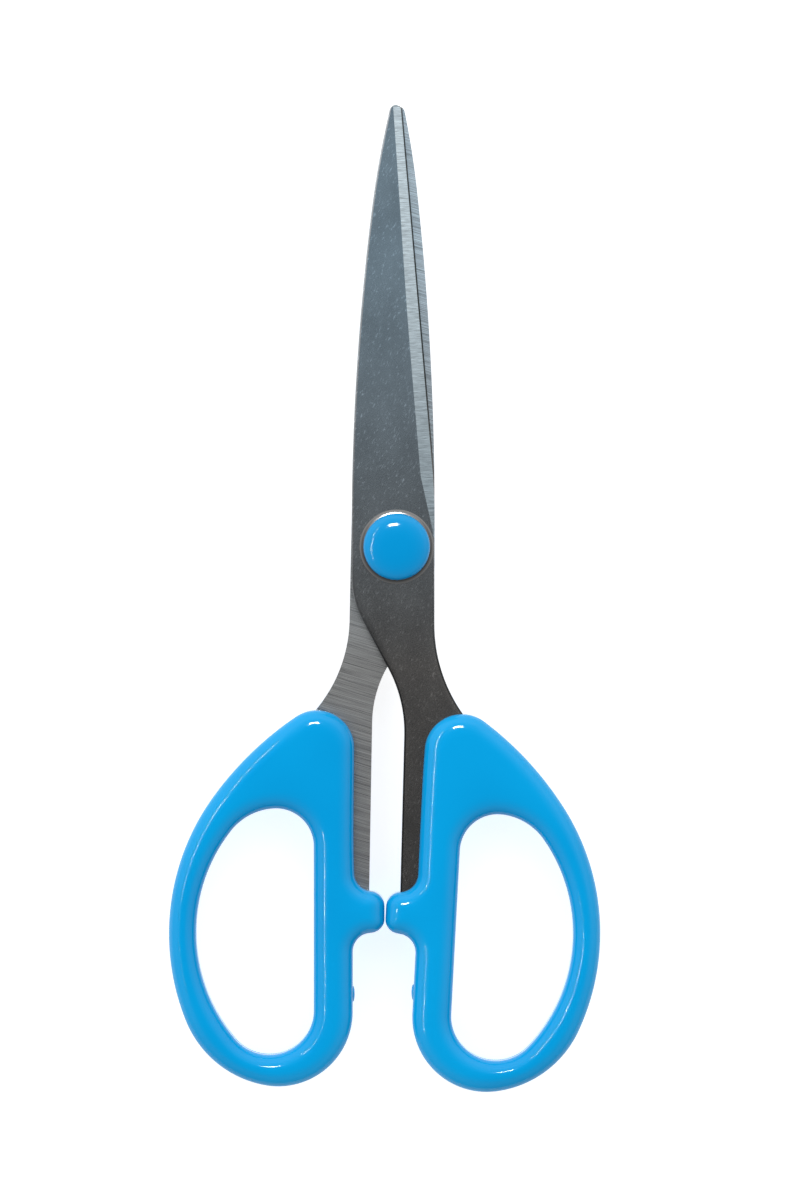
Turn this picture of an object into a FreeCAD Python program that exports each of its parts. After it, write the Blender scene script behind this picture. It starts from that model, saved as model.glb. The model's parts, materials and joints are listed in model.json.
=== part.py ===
"""Office scissors, closed: two steel blades on a riveted pivot, each with a moulded bow.

The frame: +Y runs from the bows to the tips, +X is to the right as seen from the front, +Z comes out
of the front, and the origin is under the middle of the closed scissors, on the plane they lie on.
Each half is drawn in a frame of its own, with the pivot at the origin, the blade's inner face on z = 0,
its outer face up, its spine on the -X side and its bow on the +X side. The back half is then turned over
about Y, so its spine comes to +X and its bow to -X.
"""
import FreeCAD
import Part
import Sketcher
import math
import os

SHEET = "Dims"

DIMENSIONS = {
    # where the pivot stands over the plane under the scissors
    "pivot_x": 2.18,
    "pivot_y": 9.27,
    "mid_height": 4.6,
    # blades
    "blade_thickness": 1.6,
    "blade_gap": 0.1,
    "rivet_hole": 5.06,
    # front blank, seen from its outer face
    "front_belly": 6.8,
    "front_belly_lean": 0.0,
    "front_kink_y": 12.8,
    "front_edge_top_x": 1.0,
    "front_edge_top_y": 79.0,
    "front_tip_centre_y": 78.3,
    "front_tip_radius": 1.28,
    "front_upper_spine": 180.0,
    "front_lower_spine": 463.0,
    "front_spine_joint_y": 60.0,
    "front_spine": 8.1,
    "front_heel_y": -5.5,
    "front_heel_radius": 16.0,
    "front_heel_angle": 28.0,
    "front_crook_radius": 24.5,
    "front_tang_inner": 1.35,
    "front_tang_lean": -1.45,
    "front_tang_end_x": 8.9,
    "front_tang_waist_x": 9.9,
    "front_shoulder_x": 12.6,
    "front_shoulder_y": -31.0,
    "front_shank_radius": 28.0,
    # back blank, seen from its outer face
    "back_belly": 8.0,
    "back_belly_lean": 1.2,
    "back_kink_y": 11.0,
    "back_edge_top_x": 0.62,
    "back_edge_top_y": 79.0,
    "back_tip_centre_y": 78.2,
    "back_tip_radius": 1.2,
    "back_upper_spine": 160.0,
    "back_lower_spine": 533.0,
    "back_spine_joint_y": 64.0,
    "back_spine": 6.83,
    "back_heel_y": -3.0,
    "back_heel_radius": 16.0,
    "back_heel_angle": 31.0,
    "back_crook_radius": 21.0,
    "back_tang_inner": 4.43,
    "back_tang_lean": 1.0,
    "back_tang_end_x": 12.8,
    "back_tang_waist_x": 12.9,
    "back_shoulder_x": 15.6,
    "back_shoulder_y": -30.5,
    "back_shank_radius": 26.0,
    # tang, hidden in the bow
    "tang_neck_y": -36.5,
    "tang_waist_y": -46.0,
    "tang_end_y": -64.0,
    "tang_corner": 2.0,
    "upper_key_diameter": 4.0,
    "upper_key_inset": 7.0,
    "upper_key_y": -38.5,
    "lower_key_diameter": 3.0,
    "lower_key_inset": 5.4,
    "lower_key_y": -56.0,
    # bevel along the cutting edge, and hollow grinding of the inner face
    "bevel_top_y": 82.0,
    "bevel_middle_y": 42.0,
    "bevel_top_width": 1.57,
    "bevel_middle_width": 2.35,
    "bevel_kink_width": 2.5,
    "bevel_top_land": 0.7,
    "bevel_middle_land": 0.45,
    "bevel_kink_land": 0.35,
    "bevel_end_y": 1.5,
    "cutter_rise": 1.0,
    "cutter_reach": 0.5,
    "hollow_low_y": 14.0,
    "hollow_high_y": 70.0,
    "hollow_margin": 1.1,
    "hollow_depth": 0.14,
    "hollow_high_share": 0.3,
    # bows
    "bow_thickness": 9.2,
    "bow_edge_round": 2.0,
    "bow_upper_edge": 7.64,
    "bow_lower_edge": 7.9,
    "nose_start_y": -36.15,
    "nose_radius": 6.75,
    "shoulder_radius": 59.1,
    "shoulder_end_x": 33.2,
    "shoulder_end_y": -45.2,
    "side_radius": 42.0,
    "side_end_y": -85.3,
    "low_side_radius": 19.0,
    "bottom_radius": 13.4,
    "stop_face": 2.2,
    "stop_low_y": -67.0,
    "stop_high_y": -64.65,
    "stop_low_fillet": 3.5,
    "stop_low_corner": 2.4,
    "stop_high_corner": 2.7,
    "stop_high_fillet": 3.3,
    "hole_inner": 14.95,
    "hole_low_y": -83.4,
    "hole_high_y": -53.9,
    "hole_corner_radius": 6.8,
    "hole_top_radius": 10.6,
    "hole_top_end_y": -51.2,
    "hole_side_radius": 29.7,
    "hole_bottom_radius": 8.0,
    "nib_y": -80.4,
    "nib_length": 2.3,
    "nib_height": 0.4,
    "nib_width": 2.4,
    "nib_root": 1.0,
    # the front bow sits a little closer to the blades than the back one
    "front_bow_shift": -0.72,
    "front_bow_turn": -3.0,
    # pivot
    "barrel_diameter": 5.0,
    "pin_diameter": 3.0,
    "head_diameter": 9.0,
    "head_thickness": 0.8,
    "washer_diameter": 13.4,
    "washer_thickness": 0.4,
    "washer_flat_diameter": 11.8,
    "washer_dish": 0.18,
    "running_clearance": 0.03,
    "cap_diameter": 12.0,
    "cap_rim_height": 1.75,
    "cap_rim_round": 0.9,
    "cap_head_room": 0.05,
}

# Rough lengths and turns that the outlines start from; the constraints then set the true ones.
ROUGH = {
    "upper_spine_turn": 5.6,
    "heel_run": 10,
    "tang_inner": 30,
    "tang_foot": 8,
    "tang_outer": 18,
    "tang_waist": 10,
    "tang_waist_heading": 75,
    "tang_neck": 5,
    "shank_turn": 37,
    "belly_run": 22,
    "bow_inner_start_y": -58.4,
    "bow_inner": 22,
    "nose_turn": -124.0,
    "shoulder_turn": -20.5,
    "side_turn": -57.4,
    "low_side_turn": -55.6,
    "bottom_turn": -102.5,
    "bow_lower_inner": 12.5,
    "stop_low_turn": 87.0,
    "stop_face": 2.0,
    "stop_high_turn": 82.7,
    "hole_inner": 29.5,
    "hole_corner_turn": -92.35,
    "hole_top_turn": -50.1,
    "hole_side_turn": -78.2,
    "hole_bottom_turn": -139.3,
}
UP = 90.0
RIGHT = 0.0
TOUCHING = 0.01
HOLE_VOLUME_AT_LEAST = 1000.0

doc = FreeCAD.newDocument("scissors")


# ---------------------------------------------------------------- the sheet of dimensions

def make_sheet():
    """Write every driving dimension into the sheet as a plain number with an alias."""
    sheet = doc.addObject("Spreadsheet::Sheet", SHEET)
    for row, (name, value) in enumerate(DIMENSIONS.items(), start=1):
        sheet.set("A%d" % row, name)
        sheet.set("B%d" % row, str(value))
        sheet.setAlias("B%d" % row, name)
    doc.recompute()
    return sheet


sheet = make_sheet()


def dim(name):
    """The number that a cell of the sheet holds."""
    return float(getattr(sheet, name))


def cell(name):
    """The way an expression names a cell of the sheet."""
    return SHEET + "." + name


def number(expression):
    """The number that an expression over the sheet comes to."""
    return float(sheet.evalExpression(expression))


# ---------------------------------------------------------------- sketches

def origin_plane(body, role):
    """One of a body's own origin planes, found by its role."""
    for feature in body.Origin.OriginFeatures:
        if feature.Role == role:
            return feature
    raise ValueError(role)


def new_body(name):
    body = doc.addObject("PartDesign::Body", name)
    body.Label = name
    return body


def new_sketch(body, name, role="XY_Plane"):
    sketch = body.newObject("Sketcher::SketchObject", name)
    sketch.AttachmentSupport = [(origin_plane(body, role), "")]
    sketch.MapMode = "FlatFace"
    return sketch


def bind(sketch, kind, where, expression):
    """Add a driving constraint and tie its value to an expression over the sheet."""
    value = number(expression)
    if kind == "Angle":
        value = math.radians(value)
    index = sketch.addConstraint(Sketcher.Constraint(kind, *where, value))
    sketch.setExpression("Constraints[%d]" % index, expression)


def pin_point(sketch, geometry, point, x=None, y=None):
    """Fix a point's distances from the origin; a coordinate of "0" puts it on the axis."""
    if x == "0":
        sketch.addConstraint(Sketcher.Constraint("PointOnObject", geometry, point, -2))
    elif x is not None:
        bind(sketch, "DistanceX", (-1, 1, geometry, point), x)
    if y == "0":
        sketch.addConstraint(Sketcher.Constraint("PointOnObject", geometry, point, -1))
    elif y is not None:
        bind(sketch, "DistanceY", (-1, 1, geometry, point), y)


def draw_polygon(sketch, corners):
    """Draw a closed polygon whose corners are pairs of expressions, every corner fixed."""
    spots = [FreeCAD.Vector(number(x), number(y), 0) for x, y in corners]
    count = len(spots)
    for index in range(count):
        sketch.addGeometry(Part.LineSegment(spots[index], spots[(index + 1) % count]), False)
    for index in range(count):
        sketch.addConstraint(Sketcher.Constraint("Coincident", index, 2, (index + 1) % count, 1))
    for index, (x, y) in enumerate(corners):
        pin_point(sketch, index, 1, x, y)


def line_step(length, smooth=True, heading=None):
    """A straight stretch of an outline; smooth means tangent to the stretch before it."""
    return {"kind": "line", "length": length, "smooth": smooth, "heading": heading}


def arc_step(radius, turn, smooth=True, heading=None):
    """A round stretch of an outline: its radius is a cell, its turn in degrees is left-handed."""
    return {"kind": "arc", "radius": radius, "turn": turn, "smooth": smooth, "heading": heading}


def draw_outline(sketch, start, heading, steps):
    """Draw a closed chain of lines and arcs, joined end to end, with every radius tied to its cell.

    The lengths and turns are rough: the constraints that are added later close the outline.
    Returns, for each step, the numbers by which the sketch knows its first and its last point.
    """
    spot = FreeCAD.Vector(start[0], start[1], 0)
    ends = []
    for step in steps:
        if step["heading"] is not None:
            heading = step["heading"]
        angle = math.radians(heading)
        if step["kind"] == "line":
            last = spot + FreeCAD.Vector(math.cos(angle), math.sin(angle), 0) * step["length"]
            sketch.addGeometry(Part.LineSegment(spot, last), False)
            ends.append((1, 2))
        else:
            radius = dim(step["radius"])
            side = math.copysign(1.0, step["turn"])
            centre = spot + FreeCAD.Vector(-math.sin(angle), math.cos(angle), 0) * radius * side
            first_angle = angle - side * math.pi / 2
            last_angle = first_angle + math.radians(step["turn"])
            circle = Part.Circle(centre, FreeCAD.Vector(0, 0, 1), radius)
            sketch.addGeometry(Part.ArcOfCircle(circle, *sorted((first_angle, last_angle))), False)
            last = centre + FreeCAD.Vector(math.cos(last_angle), math.sin(last_angle), 0) * radius
            ends.append((1, 2) if side > 0 else (2, 1))
            heading += step["turn"]
        spot = last
    count = len(steps)
    for index in range(count):
        following = (index + 1) % count
        kind = "Tangent" if steps[following]["smooth"] else "Coincident"
        sketch.addConstraint(Sketcher.Constraint(kind, index, ends[index][1], following, ends[following][0]))
    for index, step in enumerate(steps):
        if step["kind"] == "arc":
            bind(sketch, "Radius", (index,), cell(step["radius"]))
    return ends


def pad(body, sketch, length, name="Pad", middle=False):
    """Extrude a sketch by an expression, one way or evenly to both sides of its plane."""
    feature = body.newObject("PartDesign::Pad", name)
    feature.Profile = sketch
    feature.setExpression("Length", length)
    feature.SideType = "Symmetric" if middle else "One side"
    return feature


def pocket(body, sketch, name="Pocket"):
    """Cut a sketch through the whole solid, both ways from its plane."""
    feature = body.newObject("PartDesign::Pocket", name)
    feature.Profile = sketch
    feature.Type = "ThroughAll"
    feature.SideType = "Symmetric"
    return feature


def edges_where(shape, test):
    """The names of the edges whose middle point passes a test."""
    names = []
    for index, edge in enumerate(shape.Edges, start=1):
        middle = edge.valueAt((edge.FirstParameter + edge.LastParameter) / 2)
        if test(edge, middle):
            names.append("Edge%d" % index)
    return names


def fillet(body, feature, names, radius, name="Fillet"):
    rounding = body.newObject("PartDesign::Fillet", name)
    rounding.Base = (feature, names)
    rounding.setExpression("Radius", radius)
    return rounding


# ---------------------------------------------------------------- blades

def edge_at(half, height):
    """How far out the straight cutting edge lies at a height over the pivot, as an expression."""
    low_x, low_y = cell(half + "_belly"), cell(half + "_kink_y")
    high_x, high_y = cell(half + "_edge_top_x"), cell(half + "_edge_top_y")
    return "(%s + (%s - %s) * ((%s) - %s) / (%s - %s))" % (
        low_x, high_x, low_x, height, low_y, high_y, low_y)


def draw_blank(body, half):
    """The outline of a stamped blank, from the foot of the cutting edge round by the tip."""
    def size(name):
        return dim(half + "_" + name)

    def own(name):
        return cell(half + "_" + name)

    sketch = new_sketch(body, half + "_blank")
    rise = size("edge_top_y") - size("kink_y")
    run = size("edge_top_x") - size("belly")
    edge_heading = math.degrees(math.atan2(rise, run))
    tip_rise = (size("edge_top_y") - size("tip_centre_y")) / size("tip_radius")
    tip_heading = UP + math.degrees(math.asin(tip_rise))
    upper_turn = ROUGH["upper_spine_turn"]
    lower_turn = math.degrees(math.asin(size("spine_joint_y") / size("lower_spine")))
    heel_turn = size("heel_angle")
    shank_turn = ROUGH["shank_turn"]
    steps = [
        line_step(math.hypot(rise, run), smooth=False),
        arc_step(half + "_tip_radius", 270 - upper_turn - lower_turn - tip_heading, False, tip_heading),
        arc_step(half + "_upper_spine", upper_turn),
        arc_step(half + "_lower_spine", lower_turn),
        line_step(-size("heel_y")),
        arc_step(half + "_heel_radius", heel_turn),
        line_step(ROUGH["heel_run"]),
        arc_step(half + "_crook_radius", size("tang_lean") - heel_turn),
        line_step(ROUGH["tang_inner"]),
        line_step(ROUGH["tang_foot"], False, RIGHT),
        line_step(ROUGH["tang_outer"], False, UP),
        line_step(ROUGH["tang_waist"], False, ROUGH["tang_waist_heading"]),
        line_step(ROUGH["tang_neck"], False, UP),
        arc_step(half + "_shank_radius", -shank_turn, False, UP + shank_turn),
        line_step(ROUGH["belly_run"]),
    ]
    draw_outline(sketch, (size("belly"), size("kink_y")), edge_heading, steps)
    pin_point(sketch, 0, 1, own("belly"), own("kink_y"))
    pin_point(sketch, 0, 2, own("edge_top_x"), own("edge_top_y"))
    pin_point(sketch, 1, 3, y=own("tip_centre_y"))
    pin_point(sketch, 3, 1, y=own("spine_joint_y"))
    sketch.addConstraint(Sketcher.Constraint("Vertical", 4))
    pin_point(sketch, 4, 2, "-" + own("spine"), own("heel_y"))
    bind(sketch, "Angle", (6,), "-90 + " + own("heel_angle"))
    bind(sketch, "Angle", (8,), "-90 + " + own("tang_lean"))
    pin_point(sketch, 8, 1, x=own("tang_inner"))
    pin_point(sketch, 8, 2, y=cell("tang_end_y"))
    pin_point(sketch, 9, 2, own("tang_end_x"), cell("tang_end_y"))
    pin_point(sketch, 10, 2, own("tang_waist_x"), cell("tang_waist_y"))
    pin_point(sketch, 11, 2, own("shoulder_x"), cell("tang_neck_y"))
    pin_point(sketch, 12, 2, own("shoulder_x"), own("shoulder_y"))
    bind(sketch, "Angle", (14,), "90 + " + own("belly_lean"))
    return sketch


def cross_section(body, name, height, corners):
    """A polygon across the blade at a height over the pivot, its corners as (x, z) expressions."""
    sketch = new_sketch(body, name, "XZ_Plane")
    sketch.setExpression("AttachmentOffset.Base.z", "-(%s)" % height)
    draw_polygon(sketch, corners)
    return sketch


def loft_cut(body, name, sections):
    """Take away the ruled solid between a row of cross-sections."""
    cut = body.newObject("PartDesign::SubtractiveLoft", name)
    cut.Profile = sections[0]
    cut.Sections = sections[1:]
    cut.Ruled = True
    return cut


def bevel_sections(body, half):
    """Triangles across the edge: wide above the kink, and running out at the belly below it."""
    face = cell("blade_thickness")
    over = "(%s + %s)" % (face, cell("cutter_rise"))
    reach = cell("cutter_reach")
    heights = {
        "top": cell("bevel_top_y"),
        "middle": cell("bevel_middle_y"),
        "kink": cell(half + "_kink_y"),
        "end": cell("bevel_end_y"),
    }
    sections = []
    for name, height in heights.items():
        station = "kink" if name == "end" else name
        land = cell("bevel_%s_land" % station)
        width = cell("bevel_%s_width" % station)
        edge = "(%s + %s)" % (cell(half + "_belly"), width) if name == "end" else edge_at(half, height)
        slope = "(%s - %s) / %s" % (face, land, width)
        corners = [
            ("%s - %s - %s / (%s)" % (edge, width, cell("cutter_rise"), slope), over),
            ("%s + %s" % (edge, reach), "%s - %s * %s" % (land, reach, slope)),
            ("%s + %s" % (edge, reach), over),
        ]
        sections.append(cross_section(body, half + "_bevel_" + name, height, corners))
    return sections


def hollow_sections(body, half):
    """Shallow troughs in the inner face, from the land round the pivot to near the tip."""
    top_share = cell("hollow_high_share")
    sections = []
    for name, share in (("low", "1"), ("high", top_share)):
        height = cell("hollow_%s_y" % name)
        right = "(%s - %s)" % (edge_at(half, height), cell("hollow_margin"))
        left = "-(%s - %s) * %s" % (cell(half + "_spine"), cell("hollow_margin"), share)
        depth = "%s * %s" % (cell("hollow_depth"), share)
        quarter = "(%s - %s) / 4" % (right, left)
        corners = [
            (left, "0"),
            (left, "-" + cell("cutter_rise")),
            (right, "-" + cell("cutter_rise")),
            (right, "0"),
            ("%s - %s" % (right, quarter), depth),
            ("%s + %s" % (left, quarter), depth),
        ]
        sections.append(cross_section(body, half + "_hollow_" + name, height, corners))
    return sections


def make_blade(half, label):
    """One blade with its shank and tang, its inner face on z = 0 and its outer face up."""
    body = new_body(label)
    blank = pad(body, draw_blank(body, half), cell("blade_thickness"), half + "_plate")
    doc.recompute()
    thickness = dim("blade_thickness")
    foot_y = dim("tang_end_y")
    foot_x = dim(half + "_tang_end_x")

    def tang_corner(edge, middle):
        upright = abs(middle.z - thickness / 2) < TOUCHING
        return upright and math.hypot(middle.x - foot_x, middle.y - foot_y) < TOUCHING

    fillet(body, blank, edges_where(blank.Shape, tang_corner), cell("tang_corner"), half + "_tang_foot")
    doc.recompute()
    loft_cut(body, half + "_bevel", bevel_sections(body, half))
    loft_cut(body, half + "_hollow", hollow_sections(body, half))
    doc.recompute()
    holes = new_sketch(body, half + "_holes")
    spots = [("0", "0", cell("rivet_hole"))]
    for key in ("upper_key", "lower_key"):
        inset = "%s + %s" % (cell(half + "_tang_inner"), cell(key + "_inset"))
        spots.append((inset, cell(key + "_y"), cell(key + "_diameter")))
    for index, (x, y, diameter) in enumerate(spots):
        centre = FreeCAD.Vector(number(x), number(y), 0)
        circle = Part.Circle(centre, FreeCAD.Vector(0, 0, 1), number(diameter) / 2)
        holes.addGeometry(circle, False)
        pin_point(holes, index, 3, x, y)
        bind(holes, "Diameter", (index,), diameter)
    pocket(body, holes, half + "_piercing")
    doc.recompute()
    return body


# ---------------------------------------------------------------- bows

def draw_bow(body):
    """The outer outline of a bow: up its inner edge, round the ring, and over the stop."""
    sketch = new_sketch(body, "bow_outline")
    steps = [
        line_step(ROUGH["bow_inner"]),
        arc_step("nose_radius", ROUGH["nose_turn"]),
        arc_step("shoulder_radius", ROUGH["shoulder_turn"]),
        arc_step("side_radius", ROUGH["side_turn"]),
        arc_step("low_side_radius", ROUGH["low_side_turn"]),
        arc_step("bottom_radius", ROUGH["bottom_turn"]),
        line_step(ROUGH["bow_lower_inner"]),
        arc_step("stop_low_fillet", ROUGH["stop_low_turn"]),
        arc_step("stop_low_corner", -ROUGH["stop_low_turn"]),
        line_step(ROUGH["stop_face"]),
        arc_step("stop_high_corner", -ROUGH["stop_high_turn"]),
        arc_step("stop_high_fillet", ROUGH["stop_high_turn"]),
    ]
    draw_outline(sketch, (dim("bow_upper_edge"), ROUGH["bow_inner_start_y"]), UP, steps)
    for index in (0, 6, 9):
        sketch.addConstraint(Sketcher.Constraint("Vertical", index))
    pin_point(sketch, 0, 2, cell("bow_upper_edge"), cell("nose_start_y"))
    pin_point(sketch, 2, 1, cell("shoulder_end_x"), cell("shoulder_end_y"))
    pin_point(sketch, 3, 1, y=cell("side_end_y"))
    pin_point(sketch, 6, 1, x=cell("bow_lower_edge"))
    pin_point(sketch, 9, 1, cell("stop_face"), cell("stop_low_y"))
    pin_point(sketch, 9, 2, y=cell("stop_high_y"))
    return sketch


def draw_finger_hole(body):
    """The finger hole: straight along the inner side, round along the outer one."""
    sketch = new_sketch(body, "finger_hole")
    steps = [
        line_step(ROUGH["hole_inner"]),
        arc_step("hole_corner_radius", ROUGH["hole_corner_turn"]),
        arc_step("hole_top_radius", ROUGH["hole_top_turn"]),
        arc_step("hole_side_radius", ROUGH["hole_side_turn"]),
        arc_step("hole_bottom_radius", ROUGH["hole_bottom_turn"]),
    ]
    draw_outline(sketch, (dim("hole_inner"), dim("hole_low_y")), UP, steps)
    sketch.addConstraint(Sketcher.Constraint("Vertical", 0))
    pin_point(sketch, 0, 1, cell("hole_inner"), cell("hole_low_y"))
    pin_point(sketch, 0, 2, y=cell("hole_high_y"))
    pin_point(sketch, 2, 1, y=cell("hole_top_end_y"))
    return sketch


def make_bow(name):
    """A moulded bow with rounded edges, before the tang takes its place in it."""
    body = new_body(name)
    ring = pad(body, draw_bow(body), cell("bow_thickness"), "Ring", middle=True)
    doc.recompute()
    full = ring.Shape.Volume
    hole = pocket(body, draw_finger_hole(body), "FingerHole")
    doc.recompute()
    if hole.Shape.Volume > full - HOLE_VOLUME_AT_LEAST:
        raise RuntimeError("the finger hole has not been cut")
    half_thickness = dim("bow_thickness") / 2

    def flat_rim(edge, middle):
        return abs(abs(middle.z) - half_thickness) < TOUCHING

    fillet(body, hole, edges_where(hole.Shape, flat_rim), cell("bow_edge_round"), "EdgeRound")
    nib = new_sketch(body, "nib_outline")
    inside = "(%s + %s)" % (cell("bow_lower_edge"), cell("nib_root"))
    outside = "(%s - %s)" % (cell("bow_lower_edge"), cell("nib_height"))
    low = "(%s - %s / 2)" % (cell("nib_y"), cell("nib_length"))
    high = "(%s + %s / 2)" % (cell("nib_y"), cell("nib_length"))
    draw_polygon(nib, [(outside, low), (inside, low), (inside, high), (outside, high)])
    pad(body, nib, cell("nib_width"), "Nib", middle=True)
    doc.recompute()
    return body


def moulded_on(bow, blade, label):
    """The bow with the room that the blade's tang takes in it; the plastic fills the tang's holes."""
    handle = doc.addObject("Part::Cut", label)
    handle.Label = label
    handle.Base = bow
    handle.Tool = blade
    return handle


# ---------------------------------------------------------------- pivot

def lathe(label, corners):
    """A piece turned about its own Z axis from a polygon of (radius, height) expressions."""
    body = new_body(label)
    sketch = new_sketch(body, label + "_profile", "XZ_Plane")
    draw_polygon(sketch, corners)
    turn = body.newObject("PartDesign::Revolution", label + "_turn")
    turn.Profile = sketch
    turn.ReferenceAxis = (sketch, ["V_Axis"])
    turn.Angle = 360.0
    doc.recompute()
    return body


def make_washer(label, bore):
    """A dished steel ring lying on z = 0: flat under the cap, and sloping down to its edge beyond it."""
    inner = cell(bore) + " / 2"
    outer = cell("washer_diameter") + " / 2"
    top = cell("washer_thickness")
    return lathe(label, [
        (inner, "0"),
        (outer, "0"),
        (outer, "%s - %s" % (top, cell("washer_dish"))),
        (cell("washer_flat_diameter") + " / 2", top),
        (inner, top),
    ])


def make_cap(label, height):
    """A moulded cap that snaps over a rivet head: a short rim, a rounded edge and a low dome."""
    outer = cell("cap_diameter") + " / 2"
    inner = cell("head_diameter") + " / 2"
    room = "%s + %s" % (cell("head_thickness"), cell("cap_head_room"))
    body = lathe(label, [
        ("0", room),
        (inner, room),
        (inner, "0"),
        (outer, "0"),
        (outer, cell("cap_rim_height")),
        ("0", height),
    ])
    rim_height = dim("cap_rim_height")
    turned = body.Tip

    def crown_edge(edge, middle):
        return abs(middle.z - rim_height) < TOUCHING

    fillet(body, turned, edges_where(turned.Shape, crown_edge), cell("cap_rim_round"), "CrownRound")
    doc.recompute()
    return body


def make_barrel():
    """The shouldered half of the rivet: a head under the back washer, a bored body to the shoulder."""
    body = cell("barrel_diameter") + " / 2"
    bore = cell("pin_diameter") + " / 2"
    head = cell("head_diameter") + " / 2"
    shoulder = "%s + %s" % (HALF_STACK, cell("running_clearance"))
    seat = "-(%s + %s)" % (HALF_STACK, cell("washer_thickness"))
    end = "%s - %s" % (seat, cell("head_thickness"))
    return lathe("pivot_barrel", [
        (bore, shoulder), (bore, end), (head, end), (head, seat), (body, seat), (body, shoulder),
    ])


def make_pin():
    """The other half: a head over the front washer and a pin pressed down the barrel."""
    pin = cell("pin_diameter") + " / 2"
    head = cell("head_diameter") + " / 2"
    seat = "%s + %s + %s" % (HALF_STACK, cell("running_clearance"), cell("washer_thickness"))
    top = "%s + %s" % (seat, cell("head_thickness"))
    end = "-(%s + %s + %s)" % (HALF_STACK, cell("washer_thickness"), cell("head_thickness"))
    return lathe("pivot_pin", [("0", end), (pin, end), (pin, seat), (head, seat), (head, top), ("0", top)])


# ---------------------------------------------------------------- the assembly

HALF_STACK = "(%s / 2 + %s)" % (cell("blade_gap"), cell("blade_thickness"))


def place(thing, height, turned_over=False, shift="0", turn=None):
    """Stand a piece at the pivot, at a height over the middle of the blades."""
    if turned_over:
        thing.Placement = FreeCAD.Placement(FreeCAD.Vector(), FreeCAD.Rotation(FreeCAD.Vector(0, 1, 0), 180))
    if turn:
        thing.setExpression("Placement.Rotation.Angle", turn)
    thing.setExpression("Placement.Base.x", "%s + %s" % (cell("pivot_x"), shift))
    thing.setExpression("Placement.Base.y", cell("pivot_y"))
    thing.setExpression("Placement.Base.z", "%s + %s" % (cell("mid_height"), height))


def build():
    half_gap = cell("blade_gap") + " / 2"
    front_seat = "%s + %s" % (HALF_STACK, cell("running_clearance"))
    front_blade = make_blade("front", "front_blade")
    back_blade = make_blade("back", "back_blade")
    place(front_blade, half_gap)
    place(back_blade, "-" + half_gap, turned_over=True)

    front_bow = make_bow("front_bow")
    back_bow = make_bow("back_bow")
    place(front_bow, "0", shift=cell("front_bow_shift"), turn=cell("front_bow_turn"))
    place(back_bow, "0", turned_over=True)
    front_handle = moulded_on(front_bow, front_blade, "front_handle")
    back_handle = moulded_on(back_bow, back_blade, "back_handle")

    barrel = make_barrel()
    pin = make_pin()
    place(barrel, "0")
    place(pin, "0")
    front_washer = make_washer("front_washer", "pin_diameter")
    back_washer = make_washer("back_washer", "barrel_diameter")
    place(front_washer, front_seat)
    place(back_washer, "-" + HALF_STACK, turned_over=True)

    front_cap_seat = "%s + %s" % (front_seat, cell("washer_thickness"))
    back_cap_seat = "%s + %s" % (HALF_STACK, cell("washer_thickness"))
    front_cap = make_cap("front_cap", "%s / 2 - (%s)" % (cell("bow_thickness"), front_cap_seat))
    back_cap = make_cap("back_cap", "%s / 2 - (%s)" % (cell("bow_thickness"), back_cap_seat))
    place(front_cap, front_cap_seat)
    place(back_cap, "-(%s)" % back_cap_seat, turned_over=True)
    doc.recompute()
    return [
        front_blade, back_blade, front_handle, back_handle, barrel, pin,
        front_washer, back_washer, front_cap, back_cap,
    ]


def check_document():
    """Stop at any object that failed to build."""
    for thing in doc.Objects:
        if "Invalid" in thing.State or "Error" in thing.State:
            raise RuntimeError("%s: %s" % (thing.Name, thing.State))


def write(pieces):
    """Write each piece to its own file, named after its label."""
    os.makedirs("parts", exist_ok=True)
    for piece in pieces:
        shape = piece.Shape
        if shape.isNull() or not shape.isValid() or len(shape.Solids) != 1:
            raise RuntimeError("%s has no single valid solid" % piece.Label)
        shape.exportStep(os.path.join("parts", piece.Label + ".step"))
        box = shape.BoundBox
        print("%-14s %9.1f mm3  x %7.2f %7.2f  y %7.2f %7.2f  z %6.2f %6.2f" % (
            piece.Label, shape.Volume, box.XMin, box.XMax, box.YMin, box.YMax, box.ZMin, box.ZMax))


pieces = build()
check_document()
write(pieces)
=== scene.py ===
# %% [markdown]
# # Office scissors
#
# Office scissors are two stamped steel blades, a riveted pivot and two moulded bows. The engineering
# model fixes every size and every moving part. This lesson gives those parts their finished surfaces:
# soft-edged plastic, ground steel with its grinding marks, and a domed cap over the rivet. The model is
# loaded first, as a frame to build on.

import json
import math

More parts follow.
